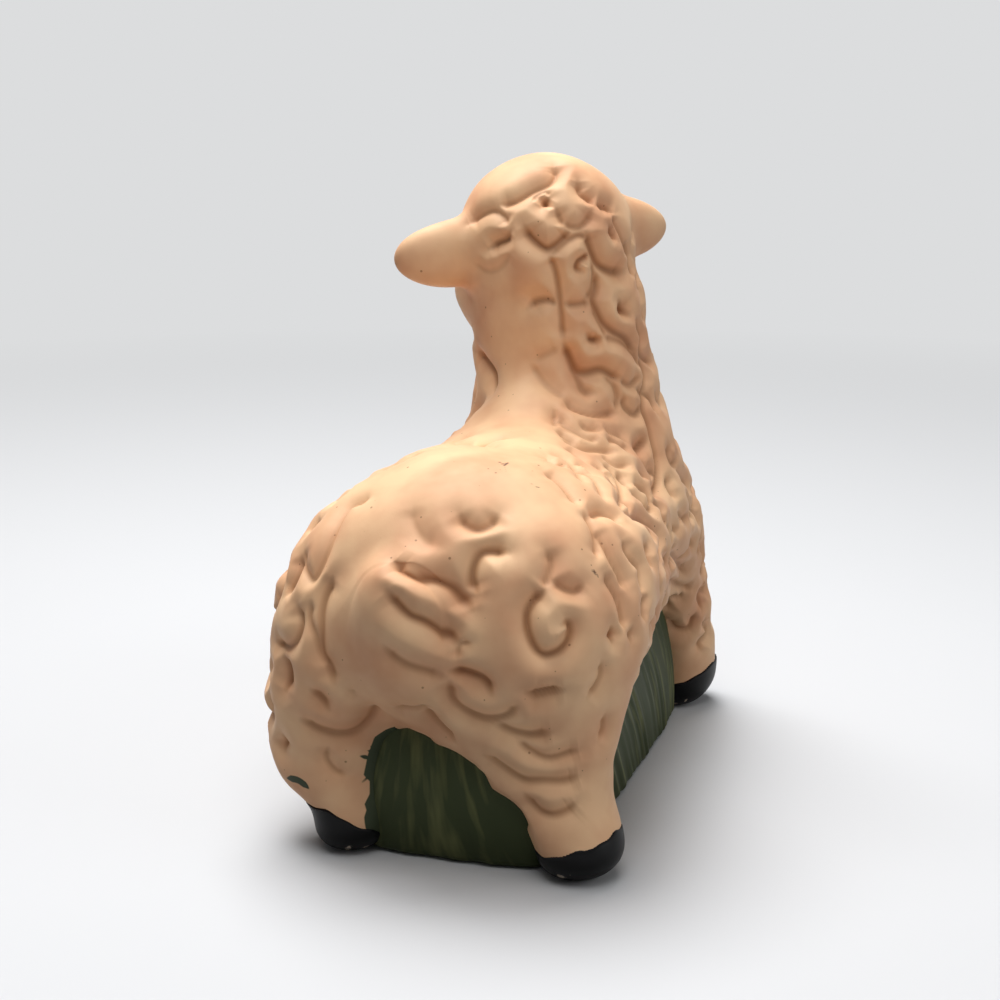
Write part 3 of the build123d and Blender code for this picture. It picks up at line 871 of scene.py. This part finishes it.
mottle_mm, speck_mm, grain_mm, grain_deep_mm = 6.5, 0.95, 0.35, 0.05
speck_least, speck_most, speck_dust = 0.84, 0.17, -0.5
bisque, shader, place = paint("ivory_bisque")
mottle = noise(bisque, place, 1 / (mottle_mm * MM), 3.0)
colour = tinted(bisque, ramp(bisque, mottle, 0.35, 0.68), "#F8CB9E", "#E5AC83")
# Painted shade: the bottoms of the furrows darkened towards brown.
hollow = ramp(bisque, point_value(bisque, "hollow"), 0.2, 1.3, most=0.7)
colour = tinted(bisque, hollow, colour, "#A0683F")
speck = add_node(bisque, "ShaderNodeTexVoronoi", [(place, "Vector")], [("Scale", 1 / (speck_mm * MM))])
speck_pick = add_node(bisque, "ShaderNodeSeparateColor", [(speck.outputs["Color"], "Color")])
speck_start = math_of(bisque, "MULTIPLY_ADD", [(point_value(bisque, "dust"), 0)],
                      [(1, speck_dust), (2, speck_least)])
speck_size = add_node(bisque, "ShaderNodeMapRange",
                      [(speck_pick.outputs["Red"], "Value"), (speck_start, "From Min")],
                      [("From Max", 1.0), ("To Max", speck_most)])
speck_edge = math_of(bisque, "SUBTRACT", [(speck_size.outputs["Result"], 0), (speck.outputs["Distance"], 1)])
colour = tinted(bisque, ramp(bisque, speck_edge, 0.0, 0.05, most=0.6), colour, "#84522F")
soil = ramp(bisque, point_value(bisque, "soil"), 0.0, 0.1, most=0.85)
colour = tinted(bisque, soil, colour, "#4A2C1C")
green = ramp(bisque, point_value(bisque, "green"), 0.02, 0.1)
colour = tinted(bisque, green, colour, "#343D27")
grain = noise(bisque, place, 1 / (grain_mm * MM), 2.0)
grain_bump = add_node(bisque, "ShaderNodeBump", [(grain, "Height")],
                      [("Strength", 0.12), ("Distance", grain_deep_mm * MM)])
bisque.node_tree.links.new(colour, shader.inputs["Base Color"])
bisque.node_tree.links.new(ramp(bisque, mottle, 0.0, 1.0, 0.48, 0.64), shader.inputs["Roughness"])
bisque.node_tree.links.new(grain_bump.outputs["Normal"], shader.inputs["Normal"])
shader.inputs["IOR"].default_value = 1.45
shader.inputs["Specular IOR Level"].default_value = 0.35

piece_cuts = {
    "torso": 126, "tail": 72, "neck": 116, "wool_cap": 100, "head": 64, "muzzle": 56, "left_ear": 48,
    "right_ear": 48, "rear_left_leg": 120, "rear_right_leg": 120, "front_left_leg": 80,
    "front_right_leg": 80,
}
for name, cuts in piece_cuts.items():
    points, quads, shading, values = clay_piece(name, cuts)
    values["soil"] = soiled(points)
    if name == "rear_left_leg":
        values["green"] = brushed_green(points)
    values["dust"] = dusty(points)
    piece = mesh_object(name + "_clay", points, [quads], values, shading)
    piece.data.materials.append(bisque)
    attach(piece, "root")
    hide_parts(name)

# Hooves
# The four foot tips, dipped in black gloss enamel by brush, so the edge wanders. The paint is a thin skin
# over the clay, a little proud of it, and is worn to pale clay in places along the sole.
wear_mm = 1.1
enamel, shader, place = paint("black_hoof_enamel")
wear = noise(enamel, place, 1 / (wear_mm * MM), 4.0)
worn = math_of(enamel, "MULTIPLY", [(wear, 0), (point_value(enamel, "low"), 1)])
colour = tinted(enamel, ramp(enamel, worn, 0.60, 0.64), "#070708", "#C9B9A6")
enamel.node_tree.links.new(colour, shader.inputs["Base Color"])
shader.inputs["Roughness"].default_value = 0.42
shader.inputs["IOR"].default_value = 1.5
shader.inputs["Specular IOR Level"].default_value = 0.15
for leg_name, (foot, rings) in leg_places.items():
    field = lambda points: smooth_max(
        clay_field(points) - paint_proud, points[:, 2] - hoof_rim(points, leg_name), 0.2)
    rays, quads = ball_grid(60)
    core = np.broadcast_to(np.array([rings[1, 0], rings[2, 0], 0.5]), rays.shape)
    points = core + cast_out(field, core, rays, 12.0)[:, None] * rays
    points = points - outward(field, points) * (kneaded(points) * np.clip(points[:, 2] / 2, 0, 1))[:, None]
    points[:, 2] = np.maximum(points[:, 2], 0)
    values = {"low": np.clip(1.25 - points[:, 2] / 4, 0, 1)}
    piece = mesh_object(leg_name + "_hoof_paint", points, [quads], values)
    piece.data.materials.append(enamel)
    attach(piece, "root")
    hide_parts(leg_name + "_hoof")

# Eyes
# Two small pellets of clay pressed into the face and painted gloss black.
eye_half = np.array([1.15, 1.15, 0.85])
eye_paint, shader, place = paint("black_eye_enamel")
shader.inputs["Base Color"].default_value = linear("#0B0A0A")
shader.inputs["Roughness"].default_value = 0.2
shader.inputs["IOR"].default_value = 1.5
for side_name, side in (("left", 1), ("right", -1)):
    eye_low, eye_high = corners(side_name + "_eye")
    centre = settle(clay_field, (eye_low + eye_high)[None] / 2)
    normal = outward(clay_field, centre)[0]
    flat = np.cross(head_up, normal)
    flat /= np.linalg.norm(flat)
    rays, quads = ball_grid(16)
    points = centre + rays * eye_half @ np.stack([flat, np.cross(normal, flat), normal])
    piece = mesh_object(side_name + "_eye_pellet", points, [quads], {})
    piece.data.materials.append(eye_paint)
    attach(piece, "root")
    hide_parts(side_name + "_eye")

# Grass
# The block that carries the belly: clay scored upright into blades with a comb, painted dark green and
# dry-brushed with olive in strokes that fan out downwards from the rear. It is wider on the right.
grass_low, grass_high = corners("grass_mound")
grass_top, grass_edge_round, grass_taper, grass_bulge = 17.0, 0.9, 2.0, 0.7
grass_corner_power, blade_count, blade_depth = 6.0, 58, 0.24
grass_rear_swell, grass_right_swell = 1.3, 2.2
fan_share, fan_spread = 0.22, 0.5


def grass_rings(around=880, levels=64):
    """Rings of the block, their ridges and the fanned place round it.

    The outline is r = (|cos / a|^n + |sin / b|^n)^(-1/n). With s the share of the way round from the fan's
    middle, strokes follow s - k (1 - z / top) sin(2 pi s) / 2 pi, and ridges are the cosine of it.
    """
    half = (grass_high - grass_low)[:2] / 2
    middle = (grass_high + grass_low)[:2] / 2
    angle = np.linspace(0, 2 * math.pi, 20001)
    cosine, sine = np.abs(np.cos(angle)) / half[0], np.abs(np.sin(angle)) / half[1]
    radius = (cosine ** grass_corner_power + sine ** grass_corner_power) ** (-1 / grass_corner_power)
    outline = radius[:, None] * np.stack([np.cos(angle), np.sin(angle)], axis=1)
    outline[:, 0] *= np.where(outline[:, 0] < 0, 1 + grass_right_swell / half[0], 1)
    walked = np.concatenate([[0], np.cumsum(np.linalg.norm(np.diff(outline, axis=0), axis=1))])
    share = np.arange(around) / around
    outline = np.stack([np.interp(share * walked[-1], walked, column) for column in outline.T], axis=1)
    run = np.roll(outline, -1, axis=0) - np.roll(outline, 1, axis=0)
    normal = np.stack([run[:, 1], -run[:, 0]], axis=1) / np.linalg.norm(run, axis=1, keepdims=True)
    level = np.linspace(0, 1, levels) ** 1.4 * grass_top
    edge = np.clip(1 - level / grass_edge_round, 0, 1)
    inset = grass_taper * level / grass_top + grass_edge_round * (1 - np.sqrt(1 - np.square(edge)))
    inset -= grass_bulge * np.sin(math.pi * np.clip(level / grass_top, 0, 1))
    turn = 2 * math.pi * (share - fan_share)
    fan = turn - fan_spread * (1 - level[:, None] / grass_top) * np.sin(turn)
    phase = blade_count * fan + 1.3 * np.sin(9 * fan) + 0.9 * np.sin(23 * fan + 2)
    ridge = (0.5 + 0.5 * np.cos(phase)) * (0.6 + 0.4 * np.sin(13 * fan + 0.11 * level[:, None]))
    out = blade_depth * (ridge - 0.6) - inset[:, None]
    swell = np.sin(math.pi * np.clip(level / grass_top, 0, 1)) ** 0.6
    out += grass_rear_swell * swell[:, None] * (normal[:, 1] > 0.7)
    flat = outline + out[..., None] * normal + middle
    high = np.broadcast_to(level[:, None, None], (levels, around, 1))
    return np.concatenate([flat, high], axis=2), ridge, fan


def ring_shell(rings):
    """Points and faces of stacked rings, closed at both ends by a fan to the ring's middle."""
    index = np.arange(rings.shape[0] * rings.shape[1]).reshape(rings.shape[:2])
    turn = np.roll(index, -1, axis=1)
    sides = np.stack([index[:-1], turn[:-1], turn[1:], index[1:]], axis=-1).reshape(-1, 4)
    pole = np.full(rings.shape[1], index.size)
    fans = [np.stack([pole, turn[0], index[0]], axis=1), np.stack([pole + 1, index[-1], turn[-1]], axis=1)]
    points = np.concatenate([rings.reshape(-1, 3), rings[:1].mean(axis=1), rings[-1:].mean(axis=1)])
    return points, [sides, *fans]


streak_mm, streak_stretch, fan_radius, ridge_share = 0.85, 0.1, 20.0, 0.09
grass_paint, shader, place = paint("green_grass_paint")
height = add_node(grass_paint, "ShaderNodeSeparateXYZ", [(place, "Vector")]).outputs["Z"]
low = math_of(grass_paint, "MULTIPLY", [(height, 0)], [(1, streak_stretch / MM)])
fan_x, fan_y = point_value(grass_paint, "fan_x"), point_value(grass_paint, "fan_y")
fanned = add_node(grass_paint, "ShaderNodeCombineXYZ", [(fan_x, "X"), (fan_y, "Y"), (low, "Z")])
streak = noise(grass_paint, fanned.outputs["Vector"], 1 / streak_mm, 2.0)
brushed = math_of(grass_paint, "MULTIPLY_ADD", [(point_value(grass_paint, "ridge"), 0), (streak, 2)],
                  [(1, ridge_share)])
colour = tinted(grass_paint, ramp(grass_paint, brushed, 0.53, 0.74), "#3C4429", "#696C45")
grass_paint.node_tree.links.new(colour, shader.inputs["Base Color"])
shader.inputs["Roughness"].default_value = 0.6
shader.inputs["IOR"].default_value = 1.48
shader.inputs["Specular IOR Level"].default_value = 0.2
rings, ridges, fan = grass_rings()
points, faces = ring_shell(rings)
values = {"ridge": ridges, "fan_x": fan_radius * np.cos(fan), "fan_y": fan_radius * np.sin(fan)}
values = {key: np.append(value.reshape(-1), [0.0, 0.0]) for key, value in values.items()}
piece = mesh_object("grass_block", points, faces, values)
piece.data.materials.append(grass_paint)
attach(piece, "root")
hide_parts("grass_mound")

# Floor and light
# A pale paper sweep that curves up all round, under a large soft lamp overhead and two weak ones round it.
# Far from the object the paper shows its own even tone, so that the background stays pale.
sweep_flat, sweep_reach, sweep_rise = 0.45, 1.5, 0.9
glow_start, glow_run = 0.08, 0.3
turns, rings = np.meshgrid(np.linspace(0, 2 * math.pi, 97)[:-1], np.linspace(0, 1, 40), indexing="ij")
radius = np.square(rings) * sweep_reach
height = sweep_rise * np.square(np.clip((radius - sweep_flat) / (sweep_reach - sweep_flat), 0, 1))
sweep = np.stack([radius * np.cos(turns), radius * np.sin(turns), height], axis=-1).reshape(-1, 3)
index = np.arange(96 * 40).reshape(96, 40)
next_turn = np.roll(index, -1, axis=0)
sweep_quads = [index[:, :-1], index[:, 1:], next_turn[:, 1:], next_turn[:, :-1]]
sweep_quads = np.stack(sweep_quads, axis=-1).reshape(-1, 4)
far = np.clip((radius.reshape(-1) - glow_start) / glow_run, 0, 1)
floor = mesh_object("floor", sweep / MM, [sweep_quads], {"far": far})
paper, shader, place = paint("pale_paper")
shader.inputs["Roughness"].default_value = 0.9
light_path = add_node(paper, "ShaderNodeLightPath")
seen = math_of(paper, "MAXIMUM", [
    (light_path.outputs["Is Camera Ray"], 0), (light_path.outputs["Is Glossy Ray"], 1)])
seen = math_of(paper, "MAXIMUM", [(seen, 0), (light_path.outputs["Is Transmission Ray"], 1)])
paper.node_tree.links.new(tinted(paper, seen, "#909194", "#D5D6D8"), shader.inputs["Base Color"])
share = math_of(paper, "MULTIPLY", [(seen, 0), (point_value(paper, "far"), 1)])
glow = add_node(paper, "ShaderNodeEmission", [], [("Color", linear("#DCDDDE")), ("Strength", 1.0)])
paper_mix = add_node(paper, "ShaderNodeMixShader", [
    (share, 0), (shader.outputs["BSDF"], 1), (glow.outputs["Emission"], 2)])
paper_output = paper.node_tree.nodes["Material Output"]
paper.node_tree.links.new(paper_mix.outputs["Shader"], paper_output.inputs["Surface"])
floor.data.materials.append(paper)
world = bpy.data.worlds.new("studio")
bpy.context.scene.world = world
world.use_nodes = True
world.node_tree.nodes["Background"].inputs["Color"].default_value = (1, 1, 1, 1)
world.node_tree.nodes["Background"].inputs["Strength"].default_value = 0.12
lamps = (
    ("overhead", (0.10, -0.10, 0.44), 0.3, 2.6), ("side", (-0.42, 0.02, 0.22), 0.25, 0.35),
    ("rear", (-0.03, 0.11, 0.25), 0.14, 0.18),
)
for name, place, size, watts in lamps:
    lamp_data = bpy.data.lights.new(name, "AREA")
    lamp_data.size = size
    lamp_data.energy = watts
    lamp = bpy.data.objects.new(name, lamp_data)
    lamp.location = place
    lamp.rotation_mode = "QUATERNION"
    lamp.rotation_quaternion = (Vector((0, 0, 0.03)) - Vector(place)).to_track_quat("-Z", "Y")
    bpy.context.scene.collection.objects.link(lamp)
bpy.context.scene.view_settings.view_transform = "Standard"
